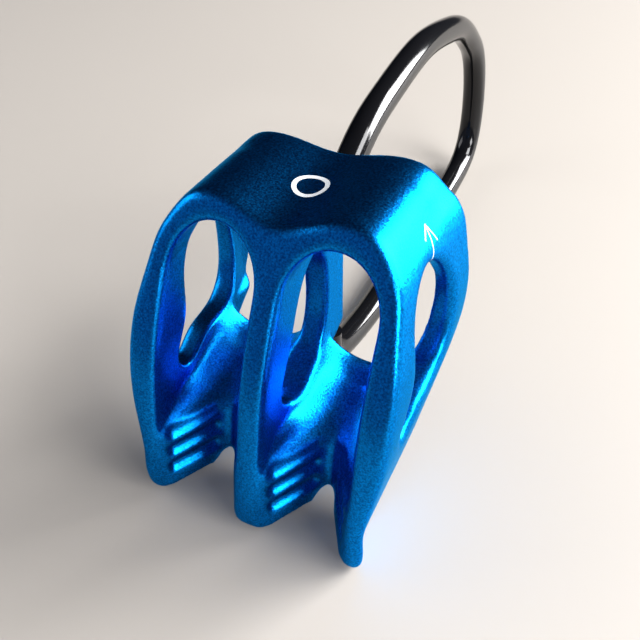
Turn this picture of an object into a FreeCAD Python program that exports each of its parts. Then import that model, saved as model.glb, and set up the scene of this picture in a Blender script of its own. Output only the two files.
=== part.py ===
import FreeCAD, Part

import math
import os

# Belay device: a forged aluminium body with two rope slots and a wire keeper loop.
# Drawn with X across the body, Y along the rope from the mouth to the keeper loop and Z up,
# standing on its three feet. Each finished piece is then moved so that the origin lies under
# the middle of the whole device.

SIZES = {
    # body outline
    "foot_front": -37.7,        # toe of the feet
    "foot_back": -30.5,         # heel of the feet
    "crown_front": -18.4,       # front edge of the crown
    "crown_back": 0.5,          # back edge of the crown
    "hump_front": 43.8,         # height of the two humps at the crown's front edge
    "hump_back": 42.2,          # and at its back edge
    "valley_front": 41.4,       # height of the valley between the humps, likewise
    "valley_back": 40.8,
    "half_width": 19.75,        # half of the greatest width
    "foot_half_width": 17.6,    # half of the width over the feet
    "waist_half_width": 18.1,   # half of the width just above the feet
    "waist_height": 8.8,
    "relief_width": 19.6,       # behind the feet the outside leans in from this half width
    "relief_height": 15.0,      # and from this height
    "relief_lean": 0.27,        # by this much for each unit down
    "relief_front": -35.4,
    # rope slots
    "slot_centre": 8.57,
    "slot_width": 13.25,
    "slot_top": 40.0,
    "floor_back": 13.6,         # height of the slot floor at its back lip
    "floor_crest": 13.1,        # where it starts to fall towards the mouth
    "floor_front": 11.0,        # where the groove starts
    "floor_dish": 3.6,          # how far the floor rises beside the fins
    "lip_back": -11.6,          # back face of the floor
    "crest_back": -16.0,
    "flare_start": -10.5,       # from here to the back the outer wall thins
    "flare_end": -4.5,
    "flare_grow": 1.7,
    "web_back": -3.9,           # back face of the middle fin at the top of its post
    "web_lean": 0.16,           # how far that face runs forward for each unit down
    # V-grooves
    "groove_apex_top": -23.0,
    "groove_apex_bottom": -28.2,
    "groove_mouth_top": -34.4,
    "groove_mouth_bottom": -38.8,
    "groove_below": 1.0,        # the cutting shape runs this far under the feet
    "ridge_pitch": 2.9,
    "ridge_depth": 0.9,
    "ridge_start": 2.2,         # the ridges begin this far out from the apex
    "ridge_end": 1.9,           # and stop this far short of the mouth
    "first_notch_height": 10.2,
    "notch_above": 0.45,        # height of its steep upper side
    "notch_slope": 1.8,         # height of the long facet under it
    "notch_outside": 0.2,       # the notch's cutting shape stands this far off the flank
    # keeper loop
    "bore_radius": 1.25,
    "core_radius": 1.2,
    "jacket_radius": 2.25,
    "sleeve_radius": 1.8,
    "sleeve_length": 9.0,
    "sleeve_place": 24.0,       # its middle, from the loop's lowest back corner
    "core_gap": 0.2,            # between the cable's two ends, inside the sleeve
    "axis_bottom_back": -8.53,  # where the bore leaves the underside
    "axis_bottom_height": 13.7,
    "axis_top_back": -6.2,      # where the bore leaves the top of the back post
    "axis_top_height": 30.5,
    "running_gap": 0.35,
    "pocket_reach": 12.0,
    "pocket_half_angle": 84.0,
    "pocket_top": 40.7,         # height of its roof where the roof is highest
    "roof_inner_height": 38.9,  # the roof climbs outwards from this height
    "roof_inner_reach": 5.8,    # and from this far behind the bore
    "roof_outer_reach": 10.0,
    "pocket_below": 0.6,        # the pocket starts this far under the bore's upper end
    # whole device
    "origin_shift": -13.62,     # from the drawing's zero to the middle of the device
}

doc = FreeCAD.newDocument("belay_device")
sheet = doc.addObject("Spreadsheet::Sheet", "sizes")
for row, (alias, value) in enumerate(SIZES.items(), start=1):
    sheet.set("A%d" % row, alias)
    sheet.set("B%d" % row, str(value))
    sheet.setAlias("B%d" % row, alias)
doc.recompute()


def size(alias):
    """A driving dimension, read back from the sheet."""
    return float(sheet.get(alias))


def side(y, z):
    return FreeCAD.Vector(0, y, z)


def front(x, z):
    return FreeCAD.Vector(x, 0, z)


def curve(points):
    spline = Part.BSplineCurve()
    spline.interpolate(points)
    return spline.toShape()


def closed_curve(points):
    spline = Part.BSplineCurve()
    spline.interpolate(points, PeriodicFlag=True)
    return spline.toShape()


def slab(edges, start, direction):
    """A closed outline, moved to its start and pushed along a direction."""
    outline = Part.Wire(Part.__sortEdges__(edges))
    face = Part.Face(outline)
    face.translate(start)
    return face.extrude(direction)


def solid_object(name, shape):
    made = doc.addObject("Part::Feature", name)
    made.Shape = shape
    return made


def bound(name, kind, expressions, placement=None):
    made = doc.addObject(kind, name)
    if placement is not None:
        made.Placement = placement
    for prop, text in expressions.items():
        made.setExpression(prop, text)
    return made


def cut(name, base, tools):
    joined = doc.addObject("Part::MultiFuse", name + "_tools")
    joined.Shapes = tools
    made = doc.addObject("Part::Cut", name)
    made.Base = base
    made.Tool = joined
    return made


# The cutting shapes run past the body to these places.
FRONT_REACH = -50
BACK_REACH = 12

# ---------------------------------------------------------------------------------------------
# Body blank: the side outline and the front outline, each pushed through, and what they share
# ---------------------------------------------------------------------------------------------

def side_outline():
    """Feet at the bottom front, a long convex brow up to the crown, and a rounded back.

    The top is level with the humps' front edge, and the front outline takes it lower behind."""
    crown = size("hump_front")
    back = size("hump_back")
    toe = side(size("foot_front"), 1.5)
    toe_foot = side(size("foot_front") + 1.2, 0)
    heel = side(size("foot_back"), 0)
    brow_top = side(size("crown_front"), crown - 1.7)
    crown_start = side(size("crown_front") + 1.8, crown)
    crown_end = side(size("crown_back") - 1.5, crown)
    back_edge = side(size("crown_back"), back + 0.4)
    back_top = side(size("crown_back"), back - 1.6)
    belly = side(-7.0, 14.8)
    return [
        curve([toe, side(-37.2, 5.5), side(-35.7, 10.6), side(-33.7, 16.3), side(-30.9, 23.2),
               side(-26.6, 30.3), side(-22.6, 35.8), brow_top]),
        Part.Arc(brow_top, side(size("crown_front") + 0.6, crown - 0.45), crown_start).toShape(),
        Part.makeLine(crown_start, crown_end),
        Part.makeLine(crown_end, back_edge),
        Part.makeLine(back_edge, back_top),
        curve([back_top, side(0.4, 35.5), side(-0.2, 30.0), side(-0.6, 24.0), side(-2.2, 18.8),
               belly]),
        curve([belly, side(-17.3, 7.9), side(-27.0, 1.5), heel]),
        Part.makeLine(heel, toe_foot),
        Part.Arc(toe_foot, side(size("foot_front") + 0.25, 0.35), toe).toShape(),
    ]


def front_outline(y):
    """Two humps with a valley between, sides that bow out, a waist and slightly wider feet."""
    share = (y - size("crown_front")) / (size("crown_back") - size("crown_front"))
    hump = size("hump_front") + share * (size("hump_back") - size("hump_front"))
    valley = size("valley_front") + share * (size("valley_back") - size("valley_front"))
    half = size("half_width")
    foot = size("foot_half_width")
    right = [front(0, valley), front(4.6, valley + 0.5 * (hump - valley)), front(9.4, hump),
             front(13.3, hump - 1.0), front(15.8, hump - 3.5),
             front(17.8, 35.9), front(19.2, 31.0), front(half, 25.0), front(half - 0.1, 20.0),
             front(half - 0.7, 14.5), front(size("waist_half_width"), size("waist_height")),
             front(foot + 0.6, 3.6), front(foot, 0.0), front(foot - 0.4, -2.0)]
    left = [front(-point.x, point.z) for point in reversed(right[1:])]
    outline = Part.Wire([curve(left + right), Part.makeLine(right[-1], left[0])])
    outline.translate(side(y, 0))
    return outline


width = 2.2 * size("half_width")
side_blank = solid_object("side_blank", slab(side_outline(), front(-width / 2, 0),
                                             front(width, 0)))
front_blank = solid_object("front_blank", Part.makeLoft(
    [front_outline(FRONT_REACH), front_outline(BACK_REACH)], True, True))
blank = doc.addObject("Part::Common", "blank")
blank.Base = side_blank
blank.Tool = front_blank

# ---------------------------------------------------------------------------------------------
# Cutting shapes
# ---------------------------------------------------------------------------------------------

GROOVE_ABOVE = 1.5          # the groove's cutting shape runs this far over the floor


def section(y, floor, grow):
    """The slot's opening at one depth: a dished floor, straight sides and a round top."""
    inner = size("slot_centre") - size("slot_width") / 2
    outer = size("slot_centre") + size("slot_width") / 2 + grow
    middle = (inner + outer) / 2
    shoulder = size("slot_top") - (outer - inner) / 2
    side_floor = floor + size("floor_dish")
    inner_low = FreeCAD.Vector(inner, y, side_floor)
    outer_low = FreeCAD.Vector(outer, y, side_floor)
    inner_high = FreeCAD.Vector(inner, y, shoulder)
    outer_high = FreeCAD.Vector(outer, y, shoulder)
    return Part.Wire([
        Part.Arc(outer_low, FreeCAD.Vector(middle, y, floor), inner_low).toShape(),
        Part.makeLine(inner_low, inner_high),
        Part.Arc(inner_high, FreeCAD.Vector(middle, y, size("slot_top")), outer_high).toShape(),
        Part.makeLine(outer_high, outer_low)])


def slot_cutter():
    """The rope's way through: the floor falls towards the mouth, and the back opens outwards."""
    fall = ((size("floor_crest") - size("floor_front"))
            / (size("crest_back") - size("groove_apex_top")))
    mouth_floor = size("floor_front") + fall * (FRONT_REACH - size("groove_apex_top"))
    back = size("floor_back")
    through = Part.makeLoft([
        section(FRONT_REACH, mouth_floor, 0),
        section(size("groove_apex_top"), size("floor_front"), 0),
        section(size("crest_back"), size("floor_crest"), 0),
        section(size("flare_start"), back, 0),
        section(size("flare_end"), back, size("flare_grow")),
        section(BACK_REACH, back, size("flare_grow"))], True, True)
    behind_floor = Part.makeBox(size("slot_width"), BACK_REACH - size("lip_back"), 40,
                                FreeCAD.Vector(size("slot_centre") - size("slot_width") / 2,
                                               size("lip_back"), -20))
    return through.fuse(behind_floor)


def groove_section(z, apex, mouth):
    centre = size("slot_centre")
    half = size("slot_width") / 2
    return Part.makePolygon([FreeCAD.Vector(centre, apex, z),
                             FreeCAD.Vector(centre - half, mouth, z),
                             FreeCAD.Vector(centre - half, FRONT_REACH, z),
                             FreeCAD.Vector(centre + half, FRONT_REACH, z),
                             FreeCAD.Vector(centre + half, mouth, z),
                             FreeCAD.Vector(centre, apex, z)])


def groove_cutter():
    """A steep V whose apex leans forward as it goes down to the feet."""
    top = groove_section(size("floor_front") + GROOVE_ABOVE, size("groove_apex_top"),
                         size("groove_mouth_top"))
    bottom = groove_section(-size("groove_below"), size("groove_apex_bottom"),
                            size("groove_mouth_bottom"))
    return Part.makeLoft([bottom, top], True, True)


def ridge_cutters():
    """Three level notches in each flank of the V leave the gripping ridges between them."""
    centre = size("slot_centre")
    half = size("slot_width") / 2
    depth = size("ridge_depth")
    rise = FreeCAD.Vector(0, 0, size("notch_above"))
    facet = FreeCAD.Vector(0, 0, size("notch_slope"))
    apex_rise = size("floor_front") + GROOVE_ABOVE + size("groove_below")
    notches = []
    for index in range(3):
        height = size("first_notch_height") - index * size("ridge_pitch")
        share = (height + size("groove_below")) / apex_rise
        apex = size("groove_apex_bottom") + share * (size("groove_apex_top")
                                                     - size("groove_apex_bottom"))
        mouth = size("groove_mouth_bottom") + share * (size("groove_mouth_top")
                                                       - size("groove_mouth_bottom"))
        for hand in (-1, 1):
            inner = FreeCAD.Vector(centre, apex, height)
            outer = FreeCAD.Vector(centre + hand * half, mouth, height)
            flank = (outer - inner).Length
            along = (outer - inner).normalize()
            into = FreeCAD.Vector(hand * abs(along.y), abs(along.x), 0)
            begin = inner + along * size("ridge_start")
            outside = begin - into * size("notch_outside")
            deepest = begin + into * depth
            reach = 1 + size("notch_outside") / depth
            profile = Part.makePolygon([outside + rise * reach, deepest + rise, deepest,
                                        outside - facet * reach, outside + rise * reach])
            run = flank - size("ridge_start") - size("ridge_end")
            notches.append(Part.Face(profile).extrude(along * run))
    return notches


def relief_cutter():
    """Behind its foot the outside of the wall leans in under the window."""
    edge = size("relief_width")
    high = size("relief_height")
    low_z = -size("groove_below")
    far = edge + size("relief_lean") * high
    low = edge - size("relief_lean") * (high - low_z)
    outline = Part.makePolygon([front(edge, high), front(low, low_z), front(far, low_z),
                                front(far, high), front(edge, high)])
    return slab(outline.Edges, side(size("relief_front"), 0), side(BACK_REACH - FRONT_REACH, 0))


def mirrored(shape):
    return shape.mirror(FreeCAD.Vector(0, 0, 0), FreeCAD.Vector(1, 0, 0))


def middle_window():
    """A teardrop: round at the top back, drawn out to a narrow tip at the bottom front."""
    return [closed_curve([side(-12.4, 33.4), side(-15.2, 32.4), side(-19.7, 27.3),
                          side(-23.6, 21.6), side(-25.8, 16.8), side(-24.4, 14.8),
                          side(-18.6, 15.4), side(-13.6, 17.8), side(-11.2, 22.0),
                          side(-10.4, 27.0), side(-10.6, 31.2)])]


def outer_window():
    """The windows in the two walls are longer, and reach further back."""
    return [closed_curve([side(-13.2, 35.8), side(-17.2, 33.8), side(-19.8, 29.6),
                          side(-22.2, 23.0), side(-25.6, 17.2), side(-24.4, 15.8),
                          side(-19.0, 17.0), side(-13.2, 17.4), side(-9.2, 19.6),
                          side(-7.2, 24.0), side(-7.0, 29.0), side(-9.2, 33.8)])]


def web_trim():
    """Takes the middle fin back to the slim post that carries the keeper bore."""
    top = size("axis_top_height")
    high = side(size("web_back"), top)
    low = side(size("web_back") - size("web_lean") * top, 0)
    far = BACK_REACH
    outline = Part.makePolygon([high, low, side(far, 0), side(far, top), high])
    fin = size("slot_centre") * 2 - size("slot_width") + 1.0
    return slab(outline.Edges, front(-fin / 2, 0), front(fin, 0))


slots = [solid_object("rope_slot_%s" % name, shape) for name, shape in
         (("right", slot_cutter()), ("left", mirrored(slot_cutter())))]
grooves = [solid_object("groove_%s" % name, shape) for name, shape in
           (("right", groove_cutter()), ("left", mirrored(groove_cutter())))]
reliefs = [solid_object("relief_%s" % name, shape) for name, shape in
           (("right", relief_cutter()), ("left", mirrored(relief_cutter())))]
ridges = Part.makeCompound(ridge_cutters())
notches = [solid_object("notches_right", ridges),
           solid_object("notches_left", mirrored(ridges))]
fin = size("slot_centre")
wall = width / 2 - fin
windows = [
    solid_object("window_middle", slab(middle_window(), front(-fin, 0), front(2 * fin, 0))),
    solid_object("window_right", slab(outer_window(), front(fin, 0), front(wall, 0))),
    solid_object("window_left", slab(outer_window(), front(-width / 2, 0), front(wall, 0)))]
web_back_trim = solid_object("web_back_trim", web_trim())

# ---------------------------------------------------------------------------------------------
# Keeper bore and the pocket that the loop swings in
# ---------------------------------------------------------------------------------------------

bore_foot = side(size("axis_bottom_back"), size("axis_bottom_height"))
bore_head = side(size("axis_top_back"), size("axis_top_height"))
bore_line = bore_head - bore_foot
bore_turn = FreeCAD.Rotation(FreeCAD.Vector(0, 0, 1), bore_line)
below = bore_line * -0.3
jacket_room = {"Radius": "sizes.jacket_radius + sizes.running_gap"}
bore = bound("bore", "Part::Cylinder", {"Radius": "sizes.bore_radius"},
             FreeCAD.Placement(bore_foot + below, bore_turn))
bore.Height = below.Length + bore_line.Length * 1.05
head_room = bound("head_room", "Part::Cylinder", jacket_room,
                  FreeCAD.Placement(bore_head, bore_turn))
head_room.Height = size("roof_inner_height") - size("axis_top_height")
foot_room = bound("foot_room", "Part::Cylinder", jacket_room,
                  FreeCAD.Placement(bore_foot + below, bore_turn))
foot_room.Height = below.Length
upright = FreeCAD.Vector(0, 0, 1)
fan = bound("fan", "Part::Cylinder",
            {"Radius": "sizes.pocket_reach", "Angle": "2 * sizes.pocket_half_angle",
             "Height": "sizes.pocket_top - sizes.axis_top_height + sizes.pocket_below"},
            FreeCAD.Placement(bore_head - upright * size("pocket_below"),
                              FreeCAD.Rotation(upright, 90 - size("pocket_half_angle"))))
roof = bound("roof", "Part::Cone",
             {"Radius1": "sizes.roof_inner_reach", "Radius2": "sizes.roof_outer_reach",
              "Height": "sizes.pocket_top - sizes.roof_inner_height"},
             FreeCAD.Placement(side(bore_head.y, size("roof_inner_height")), FreeCAD.Rotation()))
pocket = doc.addObject("Part::Cut", "pocket")
pocket.Base = fan
pocket.Tool = roof

body = cut("body_shape", blank, slots + grooves + reliefs + notches + windows
           + [web_back_trim, bore, head_room, foot_room, pocket])

# ---------------------------------------------------------------------------------------------
# Keeper loop
# ---------------------------------------------------------------------------------------------

LOOP_CORNERS = [
    # corner, radius of the bend there
    (side(-5.94, 32.4), 3.6),
    (side(7.0, 39.8), 18.0),
    (side(30.5, 41.9), 44.0),
    (side(50.5, 36.3), 20.0),
    (side(61.0, 26.0), 18.0),
    (side(63.2, 15.5), 18.0),
    (side(60.8, 5.2), 9.0),
    (side(54.0, 2.2), 12.0),
    (side(6.5, 3.2), 20.0),
    (side(-9.33, 7.98), 5.2),
]


def bend(before, corner, after, radius):
    """Where a bend starts, its middle and where it ends."""
    back = (before - corner).normalize()
    ahead = (after - corner).normalize()
    half_angle = back.getAngle(ahead) / 2
    reach = radius / math.tan(half_angle)
    middle = (back + ahead).normalize() * (radius / math.sin(half_angle) - radius)
    return corner + back * reach, corner + middle, corner + ahead * reach


def loop_edges(start, corners, end):
    """Straight runs joined by tangent bends, from start to end."""
    points = [start] + [corner for corner, _ in corners] + [end]
    edges = []
    here = start
    for index, (corner, radius) in enumerate(corners, start=1):
        first, middle, last = bend(points[index - 1], corner, points[index + 1], radius)
        if (first - here).Length > 1e-6:
            edges.append(Part.makeLine(here, first))
        edges.append(Part.Arc(first, middle, last).toShape())
        here = last
    edges.append(Part.makeLine(here, end))
    return edges


def swept(name, edges, radius_alias):
    path = solid_object(name + "_path", Part.Wire(edges))
    ring = doc.addObject("Part::Circle", name + "_ring")
    ring.setExpression("Radius", "sizes." + radius_alias)
    start = edges[0].Vertexes[0].Point
    heading = edges[0].tangentAt(edges[0].FirstParameter)
    ring.Placement = FreeCAD.Placement(start, FreeCAD.Rotation(FreeCAD.Vector(0, 0, 1), heading))
    made = doc.addObject("Part::Sweep", name)
    made.Sections = [ring]
    made.Spine = (path, [])
    made.Solid = True
    made.Frenet = False
    return made


# The cable's ends meet in the straight lower run, which splits the corners in two.
upper = LOOP_CORNERS[:-2]
lower = LOOP_CORNERS[-2:]
join_along = (lower[0][0] - upper[-1][0]).normalize()
join_middle = upper[-1][0] + join_along * size("sleeve_place")
half_gap = join_along * (size("core_gap") / 2)
core_path = loop_edges(join_middle + half_gap, lower + upper, join_middle - half_gap)
end_gap = bore_line * 0.004
jacket_path = loop_edges(bore_head + end_gap, upper + lower, bore_foot - end_gap)

core = swept("core_shape", core_path, "core_radius")
jacket_outside = swept("jacket_outside", jacket_path, "jacket_radius")
jacket_inside = swept("jacket_inside", jacket_path, "core_radius")
sleeve_turn = FreeCAD.Rotation(FreeCAD.Vector(0, 0, 1), join_along)
sleeve_start = join_middle - join_along * (size("sleeve_length") / 2)
sleeve_outside = bound("sleeve_outside", "Part::Cylinder",
                       {"Radius": "sizes.sleeve_radius", "Height": "sizes.sleeve_length"},
                       FreeCAD.Placement(sleeve_start, sleeve_turn))
sleeve_hole = bound("sleeve_hole", "Part::Cylinder",
                    {"Radius": "sizes.core_radius", "Height": "sizes.sleeve_length"},
                    FreeCAD.Placement(sleeve_start, sleeve_turn))
sleeve = doc.addObject("Part::Cut", "sleeve_shape")
sleeve.Base = sleeve_outside
sleeve.Tool = sleeve_hole
jacket = cut("jacket_shape", jacket_outside, [jacket_inside, sleeve_outside])

# ---------------------------------------------------------------------------------------------
# Names, places and files
# ---------------------------------------------------------------------------------------------

PIECES = {"body": body, "keeper_core": core, "keeper_jacket": jacket, "crimp_sleeve": sleeve}
for node, piece in PIECES.items():
    piece.Label = node
    piece.setExpression("Placement.Base.y", "sizes.origin_shift")

doc.recompute()
for made in doc.Objects:
    if "Invalid" in made.State or "Error" in made.State:
        raise RuntimeError("%s did not compute: %s" % (made.Name, made.State))

os.makedirs("parts", exist_ok=True)
for node, piece in PIECES.items():
    shape = piece.Shape
    if shape.isNull() or not shape.isValid():
        raise RuntimeError("%s has no valid shape" % node)
    shape.exportStep("parts/%s.step" % node)
    box = shape.BoundBox
    print("%-14s %d solid(s) %9.1f mm3  x %.2f %.2f  y %.2f %.2f  z %.2f %.2f"
          % (node, len(shape.Solids), shape.Volume, box.XMin, box.XMax, box.YMin, box.YMax,
             box.ZMin, box.ZMax))
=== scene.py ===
import math

import bpy
import numpy as np
import openvdb as vdb
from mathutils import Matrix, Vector


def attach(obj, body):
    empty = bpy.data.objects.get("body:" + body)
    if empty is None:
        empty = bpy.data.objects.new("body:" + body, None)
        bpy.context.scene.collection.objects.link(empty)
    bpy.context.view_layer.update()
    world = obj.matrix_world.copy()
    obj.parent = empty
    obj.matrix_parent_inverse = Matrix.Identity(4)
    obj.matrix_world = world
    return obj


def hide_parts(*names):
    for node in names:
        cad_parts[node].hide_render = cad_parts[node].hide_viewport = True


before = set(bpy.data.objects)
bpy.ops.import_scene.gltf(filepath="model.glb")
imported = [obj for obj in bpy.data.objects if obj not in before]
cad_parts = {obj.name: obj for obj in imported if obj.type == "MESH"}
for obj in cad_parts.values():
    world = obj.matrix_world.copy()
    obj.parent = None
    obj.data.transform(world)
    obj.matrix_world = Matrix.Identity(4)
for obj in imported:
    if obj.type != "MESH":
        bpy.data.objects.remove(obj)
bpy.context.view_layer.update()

MM = 0.001


# ---------------------------------------------------------------------------------------------
# Camera, floor and light
# ---------------------------------------------------------------------------------------------

CAMERA_PLACE = Vector((40.5, -90.7, 97.7)) * MM
CAMERA_TURN = (44.05, 4.84, 26.35)      # tilt, roll and azimuth, in degrees
CAMERA_LENS = 41.6                      # mm, for the sensor below
SENSOR_WIDTH = 36                       # mm
FLOOR_HALF = 3.0                        # m, so that its edge is far out of sight
LIT_PLACE = Vector((0, -0.03, 0.02))    # the middle of the body, which the lights face


def new_material(name):
    material = bpy.data.materials.new(name)
    material.use_nodes = True
    tree = material.node_tree
    return material, tree, tree.nodes["Principled BSDF"]


def add_object(name, data):
    thing = bpy.data.objects.new(name, data)
    bpy.context.scene.collection.objects.link(thing)
    return thing


def add_camera():
    data = bpy.data.cameras.new("camera")
    data.sensor_width = SENSOR_WIDTH
    data.lens = CAMERA_LENS
    data.clip_start = 0.005
    data.clip_end = 20
    camera = add_object("camera", data)
    camera.location = CAMERA_PLACE
    camera.rotation_euler = [math.radians(angle) for angle in CAMERA_TURN]
    bpy.context.scene.camera = camera


def add_floor():
    half = FLOOR_HALF
    mesh = bpy.data.meshes.new("floor")
    mesh.from_pydata([(-half, -half, 0), (half, -half, 0), (half, half, 0), (-half, half, 0)],
                     [], [(0, 1, 2, 3)])
    floor = add_object("floor", mesh)
    material, _, shader = new_material("pale_floor")
    shader.inputs["Base Color"].default_value = (0.385, 0.355, 0.322, 1)
    shader.inputs["Roughness"].default_value = 0.6
    shader.inputs["Emission Color"].default_value = (0.76, 0.72, 0.68, 1)
    shader.inputs["Emission Strength"].default_value = 0.08
    mesh.materials.append(material)


def add_light(name, place, size, watts):
    """A soft rectangular light that faces the middle of the body."""
    data = bpy.data.lights.new(name, "AREA")
    data.shape = "RECTANGLE"
    data.size, data.size_y = size
    data.energy = watts
    light = add_object(name, data)
    light.location = place
    aim = LIT_PLACE - light.location
    light.rotation_euler = aim.to_track_quat("-Z", "Y").to_euler()


def add_world():
    """A dim room, lighter towards the front where the daylight comes back off the walls."""
    world = bpy.data.worlds.new("studio")
    bpy.context.scene.world = world
    world.use_nodes = True
    nodes, links = world.node_tree.nodes, world.node_tree.links
    place = nodes.new("ShaderNodeTexCoord")
    facing = nodes.new("ShaderNodeVectorMath")
    facing.operation = "DOT_PRODUCT"
    facing.inputs[1].default_value = (-0.35, -0.85, 0.10)
    links.new(place.outputs["Generated"], facing.inputs[0])
    shade = nodes.new("ShaderNodeValToRGB")
    dark, light = shade.color_ramp.elements
    dark.position, dark.color = 0.0, (0.012, 0.016, 0.026, 1)
    light.position, light.color = 0.9, (0.22, 0.24, 0.32, 1)
    links.new(facing.outputs["Value"], shade.inputs["Fac"])
    links.new(shade.outputs["Color"], nodes["Background"].inputs["Color"])
    nodes["Background"].inputs["Strength"].default_value = 1


add_camera()
add_floor()
add_world()
bpy.context.scene.view_settings.view_transform = "Standard"
bpy.context.scene.view_settings.look = "Medium High Contrast"
add_light("window", (0.68, 0.68, 0.43), (0.52, 0.66), 26)
add_light("skylight", (0.33, 0.07, 0.31), (0.20, 0.20), 1.7)
add_light("low_right", (0.44, -0.165, 0.20), (0.22, 0.16), 1.3)
add_light("left_wall", (-0.50, -0.10, 0.25), (0.40, 0.25), 0.8)

# ---------------------------------------------------------------------------------------------
# The body: the CAD solid as a distance field, with its edges rounded as a forging's are
# ---------------------------------------------------------------------------------------------

VOXEL = 0.32 * MM
BAND = 12               # voxels of true distance on each side of the surface
PADDING = 6             # voxels of air around the solid
BLUR_REACH = 2.6        # how many sigmas a blur's weights reach to each side
EVENED = 7              # voxels of height over which the front of the metal is evened out
SLOT_CENTRE = 8.57      # mm from the middle plane to the middle of a rope slot
SOFT, CRISP, FILLED = 0.80, 0.34, 1.9       # mm, the three blurs' sigmas

# Where one kind of edge gives way to another, each from a start to an end, in mm
RIM = (1.3, 3.0)                # back from the front of the metal: soft to crisp
GROOVE_RIM = (0.6, 1.4)         # the same in the V-grooves, whose ridges begin sooner
CROWN = (36.5, 39.5)            # up: crisp to soft
OUTSIDE = (16.0, 18.0)          # out from the middle plane: crisp to soft
BEHIND = (-19, -15)             # along y: to the crisper back
GROOVE_TOP = (10.8, 12.0)       # up: the V-grooves end
APEX = (1.2, 2.2)               # out from a slot's middle: the soft bottom of its groove ends
FLOOR_START = (11.0, 13.0)      # up: the slot floors' fillets begin
FLOOR_FRONT = (2.0, 5.0)        # back from the front of the metal: the same
FILLET_TOP = (22, 26)           # up: the fillets end
FLOOR_SIDE = (4.2, 6.0)         # out from a slot's middle: the floor ends
FLOOR_BACK = (-30.0, -27.0)     # along y: the floor's full rounding ends
CRISPER_BACK = 0.6              # how much of the softness the back loses


class Field:
    """Signed distances on a regular grid, negative inside the metal."""

    def __init__(self, mesh):
        points = np.empty(len(mesh.vertices) * 3, np.float32)
        mesh.vertices.foreach_get("co", points)
        points = points.reshape(-1, 3)
        mesh.calc_loop_triangles()
        triangles = np.empty(len(mesh.loop_triangles) * 3, np.int32)
        mesh.loop_triangles.foreach_get("vertices", triangles)
        grid = vdb.FloatGrid.createLevelSetFromPolygons(
            points, triangles=triangles.reshape(-1, 3),
            transform=vdb.createLinearTransform(VOXEL), halfWidth=BAND)
        self.low = np.floor(points.min(0) / VOXEL).astype(int) - PADDING
        high = np.ceil(points.max(0) / VOXEL).astype(int) + PADDING
        self.values = np.empty(high - self.low + 1, np.float32)
        grid.copyToArray(self.values, ijk=tuple(int(i) for i in self.low))

    def axes(self):
        """The x, y and z of the grid's points, shaped so that they combine."""
        lines = [(np.arange(count) + low) * VOXEL
                 for count, low in zip(self.values.shape, self.low)]
        return lines[0][:, None, None], lines[1][None, :, None], lines[2][None, None, :]

    def blurred(self, sigma):
        """The distances averaged over a ball, which rounds edges and fills corners alike."""
        reach = math.ceil(BLUR_REACH * sigma / VOXEL)
        offsets = np.arange(-reach, reach + 1)
        weights = np.exp(-0.5 * (offsets * VOXEL / sigma) ** 2)
        weights /= weights.sum()
        values = self.values
        for axis in range(3):
            count = values.shape[axis]
            margin = [(0, 0)] * 3
            margin[axis] = (reach, reach)
            wide = np.pad(values, margin, mode="edge")
            values = sum(weight * np.take(wide, range(start, start + count), axis)
                         for start, weight in enumerate(weights.astype(np.float32)))
        return values

    def mesh(self, name, values):
        """The surface where the given distances are zero, with its faces outward."""
        grid = vdb.FloatGrid(BAND * VOXEL)
        grid.copyFromArray(values)
        points, quads = grid.convertToQuads(isovalue=0)
        mesh = bpy.data.meshes.new(name)
        mesh.from_pydata((points + self.low) * VOXEL, [], quads.tolist())
        mesh.shade_smooth()
        return mesh


def ramp(values, span):
    """A smooth step, 0 at the start of a span and 1 at its end."""
    start, end = (edge * MM for edge in span)
    share = np.clip((values - start) / (end - start), 0, 1)
    return share * share * (3 - 2 * share)


def front_faces(solid, y):
    """For each height, how far forward the metal reaches there, evened out over a few voxels."""
    metal = (solid.values < 0).any(axis=0)
    faces = np.where(metal, y[0], y.max()).min(axis=0)
    margin = EVENED // 2
    return np.convolve(np.pad(faces, margin, mode="edge"), np.full(EVENED, 1 / EVENED), mode="valid")


def make_body():
    """Soft rims and crown, crisp windows and ridges, and wide fillets along the slot floors."""
    solid = Field(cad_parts["body"].data)
    x, y, z = solid.axes()
    soft, crisp, filled = (solid.blurred(sigma * MM) for sigma in (SOFT, CRISP, FILLED))
    from_slot_middle = np.abs(np.abs(x) - SLOT_CENTRE * MM)
    from_front = y - front_faces(solid, y.reshape(1, -1, 1))[None, None, :]
    rim = 1 - ramp(from_front, RIM)
    outside = ramp(np.abs(x), OUTSIDE)
    softness = np.maximum(np.maximum(rim, ramp(z, CROWN)), outside)
    softness = softness * (1 - CRISPER_BACK * ramp(y, BEHIND))
    in_groove = (1 - ramp(z, GROOVE_TOP)) * (1 - outside)
    apex = in_groove * (1 - ramp(from_slot_middle, APEX))
    softness = softness * (1 - in_groove * ramp(from_front, GROOVE_RIM))
    softness = np.maximum(softness, apex)
    values = crisp + (soft - crisp) * softness
    inside = ramp(z, FLOOR_START) * ramp(from_front, FLOOR_FRONT)
    fillet = np.maximum(inside, outside) * (1 - ramp(z, FILLET_TOP))
    values = values + (np.minimum(values, filled) - values) * fillet
    floor_only = (1 - ramp(from_slot_middle, FLOOR_SIDE)) * (1 - ramp(y, FLOOR_BACK))
    values = values + (filled - values) * fillet * floor_only
    return add_object("device_body", solid.mesh("device_body", values))


# ---------------------------------------------------------------------------------------------
# The keeper's jacket: one smooth tube along the CAD loop's route
# ---------------------------------------------------------------------------------------------

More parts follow.
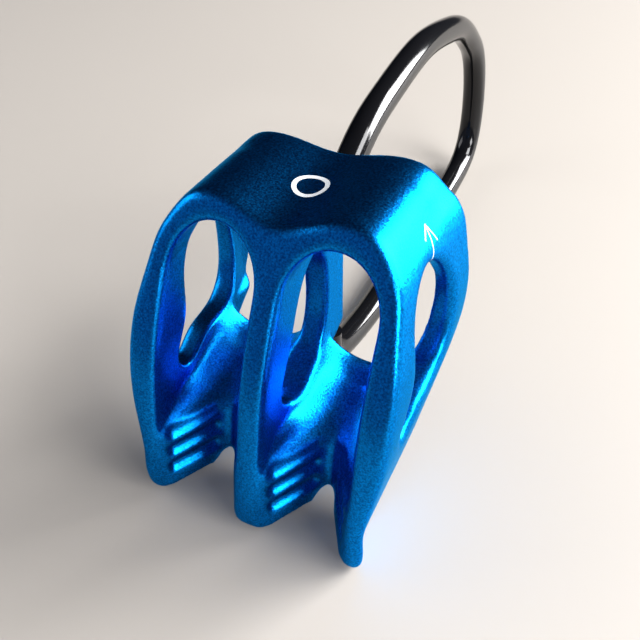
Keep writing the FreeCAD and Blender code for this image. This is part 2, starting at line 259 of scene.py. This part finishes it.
JACKET_RADIUS = 2.25    # mm
JACKET_ROUTE = [        # back and up in mm, from the bore's head round to its foot
    (-19.80, 30.65), (-19.8, 32.6), (-17.6, 33.7), (-6.6, 40.1), (4.0, 40.9),
    (16.9, 41.9), (27.5, 39.1), (36.9, 36.3), (42.6, 31.0), (47.5, 26.2),
    (49.8, 15.5), (47.6, 4.6), (40.4, 2.0), (28.0, 2.48), (4.0, 2.96),
    (-7.1, 3.2), (-21.7, 7.2), (-23.2, 9.7), (-22.18, 13.55)]
ROUND_STEPS = 10        # around the tube
ROUTE_STEPS = 12        # along each stretch of the route
CAP_EDGE = 50           # degrees; only the rims of the jacket's ends turn this sharply


def make_jacket():
    curve = bpy.data.curves.new("keeper_cover", "CURVE")
    curve.dimensions = "3D"
    curve.twist_mode = "MINIMUM"
    curve.bevel_depth = JACKET_RADIUS * MM
    curve.bevel_resolution = ROUND_STEPS
    curve.use_fill_caps = True
    curve.resolution_u = ROUTE_STEPS
    spline = curve.splines.new("NURBS")
    spline.points.add(len(JACKET_ROUTE) - 1)
    for point, (back, up) in zip(spline.points, JACKET_ROUTE):
        point.co = (0, back * MM, up * MM, 1)
    spline.use_endpoint_u = True
    spline.order_u = 4
    guide = add_object("keeper_cover_guide", curve)
    bpy.context.view_layer.update()
    solid = guide.evaluated_get(bpy.context.evaluated_depsgraph_get())
    mesh = bpy.data.meshes.new_from_object(solid)
    mesh.shade_smooth()
    mesh.set_sharp_from_angle(angle=math.radians(CAP_EDGE))
    bpy.data.objects.remove(guide)
    return add_object("keeper_cover", mesh)


# ---------------------------------------------------------------------------------------------
# Materials
# ---------------------------------------------------------------------------------------------

def math_node(nodes, links, operation, first, second):
    node = nodes.new("ShaderNodeMath")
    node.operation = operation
    for socket, value in zip(node.inputs, (first, second)):
        if isinstance(value, (int, float)):
            socket.default_value = value
        else:
            links.new(value, socket)
    return node.outputs["Value"]


# The marks' places and sizes, in mm
RING_Y = -22.4          # of its middle, which is in the middle plane
RING_RADIUS = 2.2
RING_HALF_LINE = 0.34
RING_ABOVE = 40.3       # the ring is only on the crown, above this height
ARROW_LINE = 0.22
ARROW_TIP = (-22.6, 39.4)       # back and up
ARROW_STARTS = [(-25.4, 34.9), (-24.6, 38.5), (-22.4, 37.2)]    # the tail and the two barbs
SHOULDER = 13           # the arrow is only on the right shoulder, further out than this


def printed_marks(nodes, links):
    """A plain pale ring on the crown and a plain thin arrow on the right shoulder."""
    def work(operation, first, second):
        return math_node(nodes, links, operation, first, second)

    def within(value, limit):
        return work("LESS_THAN", work("ABSOLUTE", value, 0), limit)

    def both(first, second):
        return work("MULTIPLY", first, second)

    place = nodes.new("ShaderNodeTexCoord")
    axes = nodes.new("ShaderNodeSeparateXYZ")
    links.new(place.outputs["Object"], axes.inputs["Vector"])
    x, y, z = (axes.outputs[name] for name in "XYZ")

    along = work("SUBTRACT", y, RING_Y * MM)
    distance = work("SQRT", work("ADD", both(x, x), both(along, along)), 0)
    marks = both(within(work("SUBTRACT", distance, RING_RADIUS * MM), RING_HALF_LINE * MM),
                 work("GREATER_THAN", z, RING_ABOVE * MM))

    on_shoulder = work("GREATER_THAN", x, SHOULDER * MM)
    for start in ARROW_STARTS:
        middle = [(a + b) / 2 * MM for a, b in zip(start, ARROW_TIP)]
        span = [(b - a) * MM for a, b in zip(start, ARROW_TIP)]
        length = math.hypot(*span)
        right, up = (part / length for part in span)
        dy, dz = work("SUBTRACT", y, middle[0]), work("SUBTRACT", z, middle[1])
        forward = work("ADD", both(dy, right), both(dz, up))
        sideways = work("SUBTRACT", both(dz, right), both(dy, up))
        line = both(within(forward, length / 2), within(sideways, ARROW_LINE / 2 * MM))
        marks = work("MAXIMUM", marks, both(line, on_shoulder))
    return marks


def uneven_roughness(tree, shader, noise, low, high):
    rough = tree.nodes.new("ShaderNodeMapRange")
    rough.inputs["To Min"].default_value = low
    rough.inputs["To Max"].default_value = high
    tree.links.new(noise.outputs["Fac"], rough.inputs["Value"])
    tree.links.new(rough.outputs["Result"], shader.inputs["Roughness"])


def fine_noise(tree, scale):
    place = tree.nodes.new("ShaderNodeTexCoord")
    noise = tree.nodes.new("ShaderNodeTexNoise")
    noise.inputs["Scale"].default_value = scale
    tree.links.new(place.outputs["Object"], noise.inputs["Vector"])
    return noise


GRAIN_SCALE = 3600      # per metre
GRAIN_DEPTH = 0.035     # mm


def anodised():
    """Bead-blasted blue anodising: a fine grain that scatters each highlight into sparkle."""
    material, tree, shader = new_material("anodised_blue")
    nodes, links = tree.nodes, tree.links
    shader.inputs["Specular Tint"].default_value = (0.10, 0.75, 1.0, 1)
    shader.inputs["Coat Weight"].default_value = 0.06
    shader.inputs["Coat Roughness"].default_value = 0.38
    grain = fine_noise(tree, GRAIN_SCALE)
    colour = nodes.new("ShaderNodeValToRGB")
    deep, bright = colour.color_ramp.elements
    deep.position, deep.color = 0.33, (0.0008, 0.125, 0.39, 1)
    bright.position, bright.color = 0.67, (0.0015, 0.290, 0.77, 1)
    links.new(grain.outputs["Fac"], colour.inputs["Fac"])
    marked = printed_marks(nodes, links)
    printed = nodes.new("ShaderNodeMix")
    printed.data_type = "RGBA"
    links.new(marked, printed.inputs["Factor"])
    links.new(colour.outputs["Color"], printed.inputs["A"])
    printed.inputs["B"].default_value = (0.50, 0.51, 0.52, 1)
    links.new(printed.outputs["Result"], shader.inputs["Base Color"])
    bare = math_node(nodes, links, "SUBTRACT", 1.0, marked)
    links.new(bare, shader.inputs["Metallic"])
    uneven_roughness(tree, shader, grain, 0.25, 0.37)
    bump = nodes.new("ShaderNodeBump")
    bump.inputs["Strength"].default_value = 0.8
    bump.inputs["Distance"].default_value = GRAIN_DEPTH * MM
    links.new(grain.outputs["Fac"], bump.inputs["Height"])
    links.new(bump.outputs["Normal"], shader.inputs["Normal"])
    return material


def jacket_plastic():
    material, tree, shader = new_material("black_jacket")
    shader.inputs["Base Color"].default_value = (0.008, 0.008, 0.009, 1)
    shader.inputs["IOR"].default_value = 1.47
    uneven_roughness(tree, shader, fine_noise(tree, 900), 0.08, 0.16)
    return material


def plain_metal(name, colour, roughness, scale):
    material, tree, shader = new_material(name)
    shader.inputs["Base Color"].default_value = (*colour, 1)
    shader.inputs["Metallic"].default_value = 1
    uneven_roughness(tree, shader, fine_noise(tree, scale), roughness * 0.8, roughness * 1.2)
    return material


def paint(piece, material):
    piece.data.materials.clear()
    piece.data.materials.append(material)


body = make_body()
paint(body, anodised())
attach(body, "device")
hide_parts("body")

jacket = make_jacket()
paint(jacket, jacket_plastic())
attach(jacket, "keeper")
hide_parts("keeper_jacket")

paint(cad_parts["keeper_core"], plain_metal("cable_steel", (0.55, 0.56, 0.58), 0.3, 1500))
paint(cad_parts["crimp_sleeve"], plain_metal("sleeve_metal", (0.70, 0.70, 0.71), 0.35, 2500))
